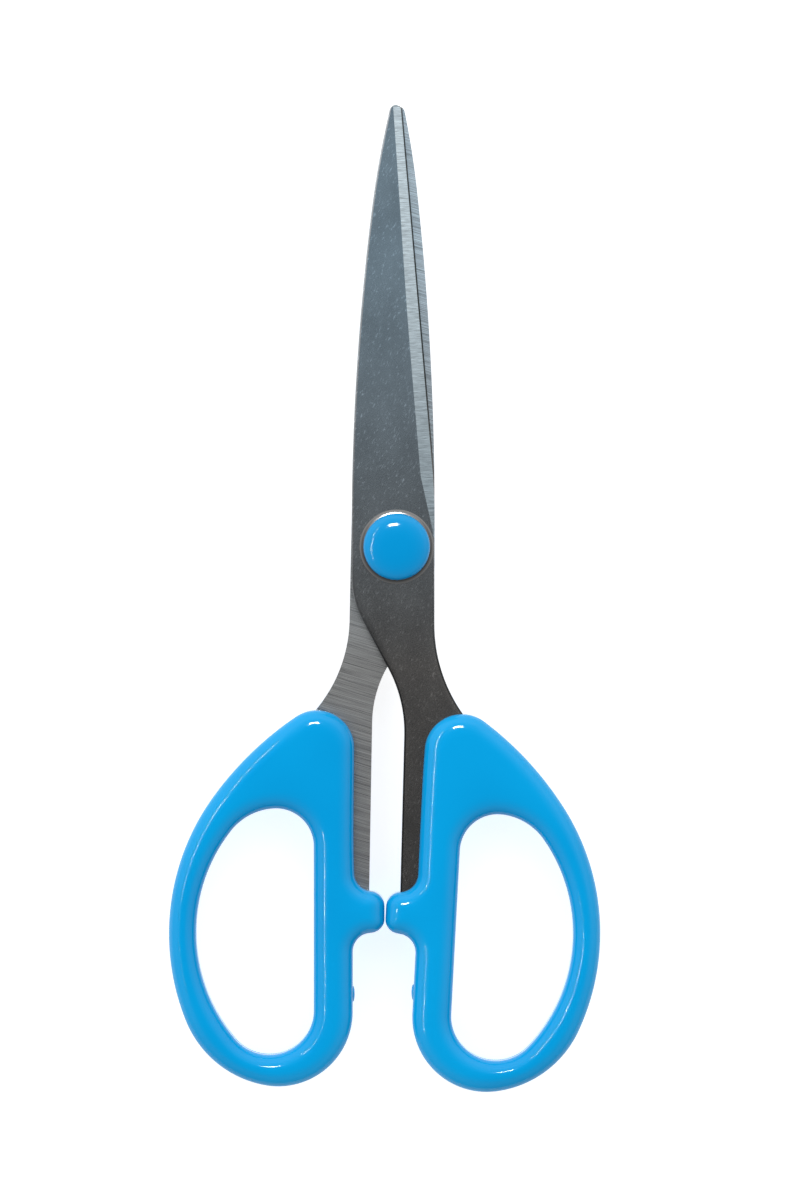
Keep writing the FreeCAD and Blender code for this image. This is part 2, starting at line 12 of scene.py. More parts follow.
import bmesh
import bpy
import numpy as np
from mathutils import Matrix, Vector

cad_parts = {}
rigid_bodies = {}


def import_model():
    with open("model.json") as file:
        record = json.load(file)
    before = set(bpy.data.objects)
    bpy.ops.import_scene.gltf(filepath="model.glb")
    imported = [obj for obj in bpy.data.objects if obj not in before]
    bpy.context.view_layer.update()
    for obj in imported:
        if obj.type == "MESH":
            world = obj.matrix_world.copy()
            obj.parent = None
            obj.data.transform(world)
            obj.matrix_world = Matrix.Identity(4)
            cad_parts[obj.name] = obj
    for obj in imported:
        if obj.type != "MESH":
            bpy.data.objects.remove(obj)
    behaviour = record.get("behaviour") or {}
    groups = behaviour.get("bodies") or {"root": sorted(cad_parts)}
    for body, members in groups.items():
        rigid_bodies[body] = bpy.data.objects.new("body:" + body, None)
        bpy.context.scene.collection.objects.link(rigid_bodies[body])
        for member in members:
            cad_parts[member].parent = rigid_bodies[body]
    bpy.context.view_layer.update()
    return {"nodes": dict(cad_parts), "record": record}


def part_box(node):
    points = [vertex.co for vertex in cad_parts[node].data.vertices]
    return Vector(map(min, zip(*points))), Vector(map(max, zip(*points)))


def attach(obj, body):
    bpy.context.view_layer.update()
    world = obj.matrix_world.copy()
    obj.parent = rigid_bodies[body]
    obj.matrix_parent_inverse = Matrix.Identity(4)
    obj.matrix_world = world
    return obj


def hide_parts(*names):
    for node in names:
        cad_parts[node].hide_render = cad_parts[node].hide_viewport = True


for leftover in list(bpy.data.objects):
    bpy.data.objects.remove(leftover)
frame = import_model()
MM = 0.001


# %% [markdown]
# Everything is placed from the pivot, so its place is read from the hinge of the record. Lengths below
# are written in millimetres, the unit of the workshop, and are turned into Blender's metres only when
# a mesh is made.

# %% Find the pivot
hinge = frame["record"]["behaviour"]["joints"][0]
pivot_x, pivot_y, pivot_z = [c / MM for c in hinge["pos_m"]]
print("pivot at", round(pivot_x, 2), round(pivot_y, 2), round(pivot_z, 2))

# %% [markdown]
# A pair of scissors lying on a table is looked at from straight above. A long lens far away keeps the
# edges of the finger holes upright, where a short lens would show the inside walls of the holes. The
# lens follows from how much of the table has to be seen at the height of the scissors.

# %% Set up the camera
VIEW_HEIGHT = 216.0
VIEW_LEVEL = 6.0
CAMERA_RISE = 1150.0
VIEW_CENTRE = (2.77, -0.30)
FAR_LIMIT = 20
camera_data = bpy.data.cameras.new("camera")
camera_data.lens = camera_data.sensor_width * (CAMERA_RISE - VIEW_LEVEL) / VIEW_HEIGHT
camera_data.clip_end = FAR_LIMIT
camera = bpy.data.objects.new("camera", camera_data)
camera.location = Vector((VIEW_CENTRE[0], VIEW_CENTRE[1], CAMERA_RISE)) * MM
bpy.context.scene.collection.objects.link(camera)
bpy.context.scene.camera = camera
print("lens", round(camera_data.lens), "mm")

# %% [markdown]
# The floor is a light table: a matt white sheet that glows a little from below, so that hardly a
# shadow is left on it. A flat sheet is enough, because only its colour is seen.

# %% Lay the floor
def new_object(name, verts, faces):
    """Make an object from vertices in millimetres and faces."""
    mesh = bpy.data.meshes.new(name)
    mesh.from_pydata([Vector(v) * MM for v in verts], [], faces)
    mesh.update()
    thing = bpy.data.objects.new(name, mesh)
    bpy.context.scene.collection.objects.link(thing)
    return thing


REACH = 3000.0
floor_corners = [(-REACH, -REACH, 0), (REACH, -REACH, 0), (REACH, REACH, 0), (-REACH, REACH, 0)]
floor = new_object("floor", floor_corners, [(0, 1, 2, 3)])
paper = bpy.data.materials.new("white_table")
paper.use_nodes = True
sheet = {"Base Color": (0.93, 0.93, 0.93, 1), "Roughness": 0.9, "Specular IOR Level": 0.1,
         "Emission Color": (1, 1, 1, 1), "Emission Strength": 0.75}
for socket, value in sheet.items():
    paper.node_tree.nodes["Principled BSDF"].inputs[socket].default_value = value
floor.data.materials.append(paper)

# %% [markdown]
# Steel and glossy plastic show what is around them. A flat blade that lies on a table mirrors the space
# right above it, so that space is kept dim, and the walls of the room are bright. The blade then reads
# as a calm grey, while its bevel and its rounded edges, which lean to the side, catch the bright walls.
# The brightness of the sky follows the height of the direction, and is a little stronger towards the
# tips than towards the bows.

# %% Light from all round
world = bpy.data.worlds.new("studio")
world.use_nodes = True
bpy.context.scene.world = world
sky = world.node_tree
sky_place = sky.nodes.new("ShaderNodeTexCoord")
sky_split = sky.nodes.new("ShaderNodeSeparateXYZ")
sky_ramp = sky.nodes.new("ShaderNodeValToRGB")
sky.links.new(sky_place.outputs["Generated"], sky_split.inputs[0])
sky.links.new(sky_split.outputs["Z"], sky_ramp.inputs["Fac"])
sky.links.new(sky_ramp.outputs["Color"], sky.nodes["Background"].inputs["Color"])
HORIZON, WALL, CEILING, ZENITH = 0.9, 1.15, 0.38, 0.05
ZENITH_TINT = (1.0, 1.03, 1.06)
TOWARDS_BOWS, TOWARDS_TIPS = (-0.9, 0.45), (0.9, 1.3)
stops = sky_ramp.color_ramp.elements
stops[0].position, stops[0].color = 0.0, (HORIZON, HORIZON, HORIZON, 1)
stops[1].position, stops[1].color = 0.995, (*(ZENITH * part for part in ZENITH_TINT), 1)
for place, level in ((0.55, WALL), (0.86, CEILING)):
    stop = stops.new(place)
    stop.color = (level, level, level, 1)
sky_side = sky.nodes.new("ShaderNodeMapRange")
for end, (direction, strength) in (("Min", TOWARDS_BOWS), ("Max", TOWARDS_TIPS)):
    sky_side.inputs["From " + end].default_value = direction
    sky_side.inputs["To " + end].default_value = strength
sky.links.new(sky_split.outputs["Y"], sky_side.inputs["Value"])
sky.links.new(sky_side.outputs["Result"], sky.nodes["Background"].inputs["Strength"])
print("sky from horizon to zenith:", HORIZON, WALL, CEILING, ZENITH)

# %% [markdown]
# Two small bright lamps give the plastic its glints. One hangs beyond the tips. The other stands to the
# left and is long and narrow, so that it draws thin lines along the edges that face it. A wide faint
# panel over the blades lifts the grey of the steel, most of all near the tips.

# %% Hang the lamps
def soft_lamp(name, place, size, power):
    """A rectangular lamp, measured in millimetres and watts, aimed at the middle of the table."""
    data = bpy.data.lights.new(name, "AREA")
    data.shape = "RECTANGLE"
    data.size = size[0] * MM
    data.size_y = size[1] * MM
    data.energy = power
    lamp = bpy.data.objects.new(name, data)
    lamp.location = Vector(place) * MM
    lamp.rotation_euler = (-lamp.location).to_track_quat("-Z", "Y").to_euler()
    bpy.context.scene.collection.objects.link(lamp)
    return lamp


lamp_beyond_tips = soft_lamp("lamp_beyond_tips", (-60, 430, 900), (180, 110), 5.2)
lamp_left = soft_lamp("lamp_left", (-560, 100, 850), (800, 12), 3.2)
panel_over_steel = soft_lamp("panel_over_steel", (0, 300, 900), (900, 700), 1.5)
bpy.context.scene.view_settings.view_transform = "Standard"

# %% [markdown]
# The outlines of the bows and blades are already in the engineering model, so they are read from it
# and not drawn twice. A level cut through a part gives its outline as a chain of short straight
# chords. Points in the middle of a straight run carry nothing and are dropped.

# %% Read an outline from the model
SAME_POINT = 1e-7
SHORTEST_CHORD = 0.002
LEAST_TURN = math.radians(0.15)
BOW_LEVEL = 1.3


def level_cut(node, height):
    """Closed loops of points, in millimetres, where a level plane cuts a part, longest first."""
    cut = bmesh.new()
    cut.from_mesh(frame["nodes"][node].data)
    bmesh.ops.remove_doubles(cut, verts=cut.verts[:], dist=SAME_POINT)
    everything = cut.verts[:] + cut.edges[:] + cut.faces[:]
    plane = {"plane_co": (0, 0, height * MM), "plane_no": (0, 0, 1)}
    found = bmesh.ops.bisect_plane(cut, geom=everything, **plane)["geom_cut"]
    links = {}
    for edge in found:
        if isinstance(edge, bmesh.types.BMEdge):
            first, second = edge.verts
            links.setdefault(first, []).append(second)
            links.setdefault(second, []).append(first)
    loops = []
    while links:
        start = next(iter(links))
        chain = [start]
        while True:
            onward = [v for v in links.pop(chain[-1]) if v in links]
            if not onward:
                break
            chain.append(onward[0])
        loops.append(np.array([(v.co.x, v.co.y) for v in chain]) / MM)
    cut.free()
    return sorted((tidy_loop(loop) for loop in loops), key=loop_length, reverse=True)


def chord_angles(loop):
    """The direction of each chord and its length."""
    chords = np.roll(loop, -1, axis=0) - loop
    return np.arctan2(chords[:, 1], chords[:, 0]), np.linalg.norm(chords, axis=1)


def loop_length(loop):
    """The length all round a loop."""
    return chord_angles(loop)[1].sum()


def half_turn_wrap(angle):
    """The same angle between -pi and pi."""
    return (angle + math.pi) % (2 * math.pi) - math.pi


def turns(angles):
    """How far the chain turns at each point."""
    return half_turn_wrap(angles - np.roll(angles, 1))


def tidy_loop(loop):
    """Drop repeated and in-line points, and run the loop anticlockwise."""
    x, y = loop[:, 0], loop[:, 1]
    if (x * np.roll(y, -1) - np.roll(x, -1) * y).sum() < 0:
        loop = loop[::-1]
    loop = loop[chord_angles(loop)[1] > SHORTEST_CHORD]
    for _ in range(4):
        loop = loop[np.abs(turns(chord_angles(loop)[0])) > LEAST_TURN]
    return loop


bow_loops = level_cut("front_handle", pivot_z - BOW_LEVEL)
print("bow outline:", len(bow_loops[0]), "points, hole:", len(bow_loops[1]), "points")

# %% [markdown]
# Chords are flat, and glossy plastic would show every one of them. Each chord came from an arc that
# runs smoothly into its neighbours, so the arc's direction at both ends can be worked out again: an
# arc cut into equal chords turns by the same angle at each point, and half of that angle lies between
# a chord and the arc's true direction. A cubic curve through the two ends then gives the arc back.

# %% Turn the chords back into arcs
SAME_ARC = 0.06
SHARPEST_SMOOTH = math.radians(4)
STEP_ALONG_CHORD = 0.1


def true_directions(loop):
    """The direction of the round outline at each of its points."""
    angles, lengths = chord_angles(loop)
    turn = turns(angles)
    before = np.roll(lengths, 1)
    inside_arc = np.abs(before - lengths) < SAME_ARC * np.maximum(before, lengths)
    from_left = np.roll(angles, 1) + np.where(np.roll(inside_arc, 1), np.roll(turn, 1), 0) / 2
    from_right = angles - np.where(np.roll(inside_arc, -1), np.roll(turn, -1), 0) / 2
    gap = half_turn_wrap(from_right - from_left)
    smooth = np.abs(gap) < SHARPEST_SMOOTH
    return from_left, from_right, np.where(smooth, from_left + gap / 2, np.nan)


def round_outline(loop, spacing):
    """Points at an even spacing along the smooth outline that a chain of chords stands for."""
    from_left, from_right, joint = true_directions(loop)
    dense = []
    for index, start in enumerate(loop):
        following = (index + 1) % len(loop)
        end = loop[following]
        leave = from_right[index] if np.isnan(joint[index]) else joint[index]
        arrive = from_left[following] if np.isnan(joint[following]) else joint[following]
        chord = np.linalg.norm(end - start)
        sweep = half_turn_wrap(arrive - leave)
        reach = chord / (3 * math.cos(sweep / 4) ** 2)
        first = start + reach * np.array([math.cos(leave), math.sin(leave)])
        second = end - reach * np.array([math.cos(arrive), math.sin(arrive)])
        for t in np.linspace(0, 1, max(4, int(chord / STEP_ALONG_CHORD)), endpoint=False):
            dense.append((1 - t) ** 3 * start + 3 * (1 - t) ** 2 * t * first
                         + 3 * (1 - t) * t ** 2 * second + t ** 3 * end)
    return respaced(np.array(dense), spacing)


def respaced(loop, spacing):
    """The same loop with evenly spaced points."""
    closed = np.vstack([loop, loop[:1]])
    along = np.concatenate([[0], np.cumsum(np.linalg.norm(np.diff(closed, axis=0), axis=1))])
    count = int(round(along[-1] / spacing))
    places = np.linspace(0, along[-1], count, endpoint=False)
    return np.column_stack([np.interp(places, along, closed[:, axis]) for axis in (0, 1)])


bow_outline = round_outline(bow_loops[0], 0.4)
print("round outline:", len(bow_outline), "points over", round(loop_length(bow_outline), 1), "mm")

# %% [markdown]
# A bow is moulded plastic: two flat faces whose edges roll over softly, so that nothing presses into
# the fingers. A bevelled curve could make it, but its flat face would be one big polygon, and a ring
# this narrow has no flat at all: its section is a low arch. So the face is a net of ribs that run from
# the outer outline to the finger hole, and the height of each point follows from its distance to the
# nearest edge. First, each point of the outer outline needs its partner on the hole.

# %% Pair the two outlines of a bow
BLOCK = 400
EVENNESS = 0.45
SOFTENING = 6


def distances(points, loop):
    """For each point, the distance to the nearest point of a loop, and that point's number."""
    near = np.full(len(points), np.inf)
    which = np.zeros(len(points), int)
    for begin in range(0, len(points), BLOCK):
        block = slice(begin, begin + BLOCK)
        apart = np.linalg.norm(points[block][:, None, :] - loop[None, :, :], axis=2)
        which[block] = apart.argmin(axis=1)
        near[block] = apart.min(axis=1)
    return near, which


def softened(values, reach):
    """A running mean round a closed chain."""
    return sum(np.roll(values, shift) for shift in range(-reach, reach + 1)) / (2 * reach + 1)


def paired(outer, hole):
    """For each outer point, the hole point that its rib ends on."""
    count = len(outer)
    which = distances(outer, hole)[1]
    nearest = np.unwrap(which / len(hole) * 2 * math.pi) / (2 * math.pi)
    nearest = np.maximum.accumulate(nearest)
    steady = np.arange(count) / count
    drift = nearest - steady
    drift = softened(drift * (1 - EVENNESS) + drift.mean() * EVENNESS, SOFTENING)
    share = np.mod(steady + drift, 1) * len(hole)
    low = np.floor(share).astype(int) % len(hole)
    part = (share - np.floor(share))[:, None]
    return hole[low] * (1 - part) + hole[(low + 1) % len(hole)] * part


print("pairing keeps", EVENNESS, "of an even spread")

# %% [markdown]
# The edge is a quarter of a superellipse. A plain quarter circle joins the flat face with a sudden
# change of curvature, and gloss shows that as a hard line. The superellipse flattens gradually. Where
# the ring is narrow, the distances to its two edges are blended, so that its crest is round too.

# %% Shape the face of a bow
EDGE_REACH = 3.1
EDGE_DROP = 2.6
EDGE_POWER = 2.15
CROWN = 0.22
CROWN_REACH = 5.0
CREST_BLEND = 1.6
NEAR_EDGE = (0.0, 0.05, 0.16, 0.34, 0.6, 0.95, 1.4, 1.95)
NEAR_EDGE_SHARE = 0.42
INSIDE_STEPS = 13
half_bow = (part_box("front_handle")[1].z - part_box("front_handle")[0].z) / MM / 2


def face_height(depth):
    """The height of a bow's face over its middle plane, at a distance in from the edge."""
    inward = np.clip(1 - depth / EDGE_REACH, 0, 1)
    rolled = EDGE_DROP * (1 - (1 - inward ** EDGE_POWER) ** (1 / EDGE_POWER))
    return half_bow - rolled - CROWN * np.exp(-(depth / CROWN_REACH) ** 2)


def smaller_of(first, second):
    """The smaller of two distances, with a round change from one to the other."""
    overlap = np.clip(CREST_BLEND - np.abs(first - second), 0, None) / CREST_BLEND
    return np.minimum(first, second) - overlap ** 2 * CREST_BLEND / 4


def rib_places(length):
    """Where the points of a rib lie along it, from 0 to 1, close together near both ends."""
    scale = min(1.0, NEAR_EDGE_SHARE * length / NEAR_EDGE[-1])
    near = np.array(NEAR_EDGE) * scale / length
    middle = np.linspace(near[-1], 1 - near[-1], INSIDE_STEPS + 2)[1:-1]
    return np.concatenate([near, middle, 1 - near[::-1]])


rim_height = face_height(np.array([0.0]))[0]
print("upright part of a bow's edge:", round(2 * rim_height, 2), "of", round(2 * half_bow, 2), "mm")

# %% [markdown]
# The net goes over the front face, down the wall of the finger hole, back under the other face and up
# the outside. Its wall has a fine groove halfway up: the line where the two halves of the mould met.

# %% Build a bow
WALL_STEPS = (0.92, 0.6, 0.05, 0.0, -0.05, -0.6, -0.92)
PARTING_GROOVE = 0.045
RIB_SPACING, FINE_SPACING = 0.42, 0.12


def strips(rows, around):
    """Faces between neighbouring rows of a net; each row has this many points and is a closed ring."""
    return [(row * around + k, row * around + (k + 1) % around,
             (row + 1) * around + (k + 1) % around, (row + 1) * around + k)
            for row in range(rows - 1) for k in range(around)]


def wall(loop, outward, heights):
    """Columns of wall points, with the mould's parting line pressed in at half height."""
    ahead = np.roll(loop, -1, axis=0) - np.roll(loop, 1, axis=0)
    normal = np.column_stack([ahead[:, 1], -ahead[:, 0]]) / np.linalg.norm(ahead, axis=1)[:, None]
    columns = []
    for share in heights:
        press = PARTING_GROOVE if share == 0 else 0.0
        spot = loop - normal * press * outward
        columns.append(np.column_stack([spot, np.full(len(loop), pivot_z + share * rim_height)]))
    return columns


def build_bow(node, level, name):
    """The finished bow that stands for a CAD handle, whose plain outline is cut at a level."""
    outer_raw, hole_raw = level_cut(node, level)[:2]
    outer = round_outline(outer_raw, RIB_SPACING)
    hole = round_outline(hole_raw, FINE_SPACING)
    partner = paired(outer, hole)
    lengths = np.linalg.norm(partner - outer, axis=1)
    places = np.array([rib_places(length) for length in lengths])
    ribs = outer[:, None, :] + (partner - outer)[:, None, :] * places[:, :, None]
    flat = ribs.reshape(-1, 2)
    fine_outer = round_outline(outer_raw, FINE_SPACING)
    depth = smaller_of(distances(flat, fine_outer)[0], distances(flat, hole)[0])
    depth = np.clip(depth, 0, None).reshape(ribs.shape[:2])
    depth[:, (0, -1)] = 0
    heights = face_height(depth)
    columns_of_ribs = range(ribs.shape[1])
    top = [np.column_stack([ribs[:, k], pivot_z + heights[:, k]]) for k in columns_of_ribs]
    under = [np.column_stack([ribs[:, k], pivot_z - heights[:, k]]) for k in columns_of_ribs]
    inner_wall = wall(partner, -1.0, WALL_STEPS)
    outer_wall = wall(outer, 1.0, WALL_STEPS[::-1])
    columns = top + inner_wall + under[::-1] + outer_wall
    count, around = len(outer), len(columns)
    verts = np.stack(columns, axis=1).reshape(-1, 3)
    faces = []
    for i in range(count):
        ahead = (i + 1) % count
        for k in range(around):
            beyond = (k + 1) % around
            faces.append((i * around + k, ahead * around + k,
                          ahead * around + beyond, i * around + beyond))
    bow = new_object(name, verts, faces)
    bow.data.shade_smooth()
    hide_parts(node)
    print(name, len(verts), "vertices, ring at its narrowest", round(lengths.min(), 2), "mm")
    return bow, outer


front_bow, front_outline = build_bow("front_handle", pivot_z - BOW_LEVEL, "front_bow")
back_bow, back_outline = build_bow("back_handle", pivot_z + BOW_LEVEL, "back_bow")
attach(front_bow, "front_half")
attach(back_bow, "back_half")

# %% [markdown]
# Low on the inner edge of each bow is a small raised spot, where the plastic flowed into the mould and
# the sprue was broken off. It is a lens sunk halfway into the wall: a few rings of points whose width
# and height both follow a circle.

# %% Add the sprue marks
MARK_BELOW_PIVOT = 80.4
MARK_LENGTH, MARK_RISE, MARK_DEPTH = 1.5, 0.38, 2.0
INNER_EDGE_REACH = 14


def sprue_mark(name, outline, side, body):
    """A lens on the inner edge of a bow, at a height given by its distance below the pivot."""
    inner = outline[np.abs(outline[:, 0] - pivot_x) < INNER_EDGE_REACH]
    spot = inner[np.abs(inner[:, 1] - (pivot_y - MARK_BELOW_PIVOT)).argmin()]
    verts = []
    around, rings = 20, 7
    for ring in range(rings):
        lift = math.pi * (ring + 0.5) / rings
        for step in range(around):
            turn = 2 * math.pi * step / around
            out = math.cos(lift) * MARK_RISE
            width = math.sin(lift)
            verts.append((spot[0] - side * out, spot[1] + MARK_LENGTH * width * math.cos(turn),
                          pivot_z + MARK_DEPTH * width * math.sin(turn)))
    faces = strips(rings, around)
    faces.append(tuple(range(around))[::-1])
    faces.append(tuple((rings - 1) * around + step for step in range(around)))
    mark = new_object(name, verts, faces)
    mend_normals(mark)
    mark.data.shade_smooth()
    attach(mark, body)
    return mark


def mend_normals(thing):
    """Point every face outwards."""
    work = bmesh.new()
    work.from_mesh(thing.data)
    bmesh.ops.recalc_face_normals(work, faces=work.faces[:])
    work.to_mesh(thing.data)
    work.free()


mend_normals(front_bow)
mend_normals(back_bow)
front_mark = sprue_mark("front_sprue_mark", front_outline, 1, "front_half")
back_mark = sprue_mark("back_sprue_mark", back_outline, -1, "back_half")
print("sprue marks", round(pivot_y - MARK_BELOW_PIVOT, 1), "mm along Y")

# %% [markdown]
# Every finish is a small graph of nodes that ends in one shader. Each starts from the place on the
# object, in metres, so a texture's scale is one over the size of its marks. The helpers below each add
# one kind of node, so that a finish reads as a short list of what its surface shows.

# %% Begin a finish
class Finish:
    """A material made of nodes: each method adds one and gives back its output."""

    def __init__(self, name, **settings):
        self.material = bpy.data.materials.new(name)
        self.material.use_nodes = True
        self.nodes = self.material.node_tree.nodes
        self.links = self.material.node_tree.links
        self.shader = self.nodes["Principled BSDF"]
        for socket, value in settings.items():
            self.shader.inputs[socket.replace("_", " ")].default_value = value
        self.place = self.nodes.new("ShaderNodeTexCoord").outputs["Object"]

    def stretched(self, size, tilt=0.0, centre=(0, 0, 0)):
        """The place measured in marks of a given size, in millimetres, turned by tilt degrees."""
        node = self.nodes.new("ShaderNodeMapping")
        node.vector_type = "TEXTURE"
        node.inputs["Location"].default_value = [c * MM for c in centre]
        node.inputs["Rotation"].default_value = (0, 0, math.radians(tilt))
        node.inputs["Scale"].default_value = [s * MM for s in size]
        self.links.new(self.place, node.inputs["Vector"])
        return node.outputs["Vector"]

    def noise(self, place, detail=2.0, roughness=0.5, distortion=0.0):
        """A cloudy value round 0.5, one cloud to each unit of the place."""
        node = self.nodes.new("ShaderNodeTexNoise")
        node.inputs["Scale"].default_value = 1.0
        node.inputs["Detail"].default_value = detail
        node.inputs["Roughness"].default_value = roughness
        node.inputs["Distortion"].default_value = distortion
        self.links.new(place, node.inputs["Vector"])
        return node.outputs["Fac"]

    def along(self, place, axis):
        """One coordinate of a place."""
        node = self.nodes.new("ShaderNodeSeparateXYZ")
        self.links.new(place, node.inputs["Vector"])
        return node.outputs[axis]

    def spread(self, value, start, end, low, high):
        """Carry the range start..end over to low..high, and hold it there."""
        node = self.nodes.new("ShaderNodeMapRange")
        limits = {"From Min": start, "From Max": end, "To Min": low, "To Max": high}
        for socket, number in limits.items():
            node.inputs[socket].default_value = number
        self.links.new(value, node.inputs["Value"])
        return node.outputs["Result"]

    def blend(self, share, first, second, kind="MIX"):
        """Mix two colours; each, and the share of the second, may be fixed or an output."""
        node = self.nodes.new("ShaderNodeMix")
        node.data_type = "RGBA"
        node.blend_type = kind
        if isinstance(share, float):
            node.inputs["Factor"].default_value = share
        else:
            self.links.new(share, node.inputs["Factor"])
        for index, colour in ((6, first), (7, second)):
            if isinstance(colour, tuple):
                node.inputs[index].default_value = (*colour, 1)
            else:
                self.links.new(colour, node.inputs[index])
        return node.outputs[2]

    def shaded(self, colour, value):
        """A colour made darker or lighter by a number."""
        return self.blend(1.0, colour, self.grey(value), "MULTIPLY")

    def grey(self, value):
        """A number as a grey colour."""
        node = self.nodes.new("ShaderNodeCombineColor")
        for channel in ("Red", "Green", "Blue"):
            self.links.new(value, node.inputs[channel])
        return node.outputs["Color"]

    def bumps(self, height, depth):
        """Turn a value into relief, depth in millimetres."""
        node = self.nodes.new("ShaderNodeBump")
        node.inputs["Strength"].default_value = 1.0
        node.inputs["Distance"].default_value = depth * MM
        self.links.new(height, node.inputs["Height"])
        return node.outputs["Normal"]

    def paint(self, **outputs):
        """Send outputs to the shader's sockets."""
        for socket, output in outputs.items():
            self.links.new(output, self.shader.inputs[socket.replace("_", " ")])
        return self.material


print("helpers of a finish:", [word for word in vars(Finish) if not word.startswith("_")])

# %% [markdown]
# The blade's outer face is rolled steel that was tumbled in stones: a satin grey full of tiny specks.
# Its colour is painted lighter and bluer towards the tip, as a painted reflection.

# %% Finish the outer face
FOOT_Y, TIP_Y = -12, 62


def painted_light_along_blade(finish, foot, tip):
    """A colour with painted light that changes along the blade, from the shank to the tip."""
    rise = finish.spread(finish.along(finish.place, "Y"), FOOT_Y * MM, TIP_Y * MM, 0.0, 1.0)
    return finish.blend(rise, foot, tip)


def tumbled_steel(name, foot, tip, roughness):
    """Satin steel: soft clouds, small specks and a few short bright nicks."""
    finish = Finish(name, Metallic=1.0)
    ground = painted_light_along_blade(finish, foot, tip)
    cloud = finish.spread(finish.noise(finish.stretched((5, 9, 5)), 3.0), 0.3, 0.7, 0.88, 1.1)
    speck = finish.noise(finish.stretched((0.16, 0.22, 0.2), 12), 3.0, 0.62, 1.2)
    fleck = finish.spread(speck, 0.3, 0.7, 0.84, 1.14)
    nick = finish.noise(finish.stretched((0.22, 0.85, 0.4), -24), 2.0, 0.5, 0.6)
    wisp = finish.spread(nick, 0.60, 0.76, 1.0, 2.1)
    colour = finish.shaded(finish.shaded(finish.shaded(ground, cloud), fleck), wisp)
    gloss = finish.spread(speck, 0.3, 0.7, roughness - 0.06, roughness + 0.08)
    relief = finish.bumps(speck, 0.006)
    return finish.paint(Base_Color=colour, Roughness=gloss, Normal=relief)


# Painted reflection: the outer face is lighter and bluer at the tip than at the foot.
outer_steel = tumbled_steel("blade_outer_steel", (0.135, 0.131, 0.128), (0.19, 0.26, 0.315), 0.26)
# Painted shade and painted highlight: the rims are nearly black at the foot and light at the tip.
rim_painted_light = tumbled_steel("blade_rim_painted_light", (0.03, 0.03, 0.03), (0.48, 0.51, 0.54), 0.30)
print("outer finishes:", outer_steel.name, rim_painted_light.name)

# %% [markdown]
# Grinding leaves parallel lines. On the bevel they are short and run straight across the edge, and on
# the inner face they are long and slant, because the blade lay at an angle under the wheel. Both come
# from a noise that is squeezed hard in one direction.

# %% Finish the ground faces
FINE_LINE_SHARE = 0.4


def ground_steel(name, colours, line_size, tilt, contrast, roughness, depth):
    """Steel with grinding lines of two sizes, the finer ones laid over the others."""
    finish = Finish(name, Metallic=1.0)
    ground = painted_light_along_blade(finish, *colours)
    lines = finish.noise(finish.stretched(line_size, tilt), 4.0, 0.65)
    fine_size = [size * FINE_LINE_SHARE for size in line_size]
    fine = finish.noise(finish.stretched(fine_size, tilt), 3.0, 0.6)
    both = finish.blend(0.55, finish.grey(lines), finish.grey(fine))
    stripe = finish.spread(both, 0.36, 0.64, 1 - contrast, 1 + contrast)
    colour = finish.shaded(ground, stripe)
    gloss = finish.spread(both, 0.35, 0.65, roughness + 0.05, roughness - 0.05)
    relief = finish.bumps(both, depth)
    return finish.paint(Base_Color=colour, Roughness=gloss, Normal=relief)


# Painted light: the bevel and the inner face are darker at the foot, as painted shade, and lighter and
# bluer towards the tip, as a painted reflection.
bevel_steel = ground_steel("blade_bevel_steel", ((0.11, 0.14, 0.16), (0.50, 0.59, 0.64)),
                           (4.0, 0.12, 6.0), 3, 0.60, 0.30, 0.010)
inner_steel = ground_steel("blade_inner_steel", ((0.345, 0.35, 0.35), (0.47, 0.58, 0.66)),
                           (22.0, 0.13, 6.0), -17, 0.72, 0.42, 0.010)
# Painted shadow: the narrow land of the cutting edge is nearly black, standing in for the shadow in the
# gap between the blades.
edge_painted_shadow = ground_steel("blade_edge_painted_shadow", ((0.10, 0.10, 0.10), (0.035, 0.035, 0.03)),
                          (0.3, 0.8, 6.0), 0, 0.20, 0.40, 0.006)
blade_finishes = (outer_steel, bevel_steel, rim_painted_light, inner_steel, edge_painted_shadow)
print("blade finishes:", [finish.name for finish in blade_finishes])

# %% [markdown]
# A blade starts as a flat stamping. Its spine is tumbled round, its cutting edge is ground back in one
# slanting plane that leaves a narrow land, and its inner face is ground slightly hollow, so that two
# blades touch only at their edges. All of that changes slowly along the blade, which makes a blade a
# natural loft: cross-sections at many stations, joined by strips. Each section needs the blade's left
# and right side at that height, and the line where the bevel begins. All three are read from level
# cuts of the engineering model, one near the inner face and one near the outer face.

# %% Read the sides of a blade
SIDE_SPACING = 0.15


class Sides:
    """The left and right side of a blade's outline, measured from the pivot."""

    def __init__(self, node, level, flip):
        loop = round_outline(level_cut(node, level)[0], SIDE_SPACING)
        self.loop = np.column_stack([(loop[:, 0] - pivot_x) * flip, loop[:, 1] - pivot_y])

    def at(self, height):
        """Both sides at a height over the pivot."""
        here = self.loop
        there = np.roll(here, -1, axis=0)
        crosses = (here[:, 1] - height) * (there[:, 1] - height) < 0
        start, end = here[crosses], there[crosses]
        share = (height - start[:, 1]) / (end[:, 1] - start[:, 1])
        across = start[:, 0] + (end[:, 0] - start[:, 0]) * share
        return across.min(), across.max()


def inner_level(node, facing):
    """Where a blade's inner face lies, and how thick the blade is."""
    low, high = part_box(node)
    inner = low.z if facing > 0 else high.z
    return inner / MM, (high.z - low.z) / MM


front_inner, blade_thickness = inner_level("front_blade", 1)
print("front blade: inner face at", round(front_inner, 2), "thickness", round(blade_thickness, 2))

# %% [markdown]
# The height of the outer face at any point is the lowest of three: the flat of the sheet, the bevel
# plane, and the rounding of the rim. The bevel plane keeps its slope where it runs out towards the
# pivot, so its width there tells how much of the sheet it still takes away.

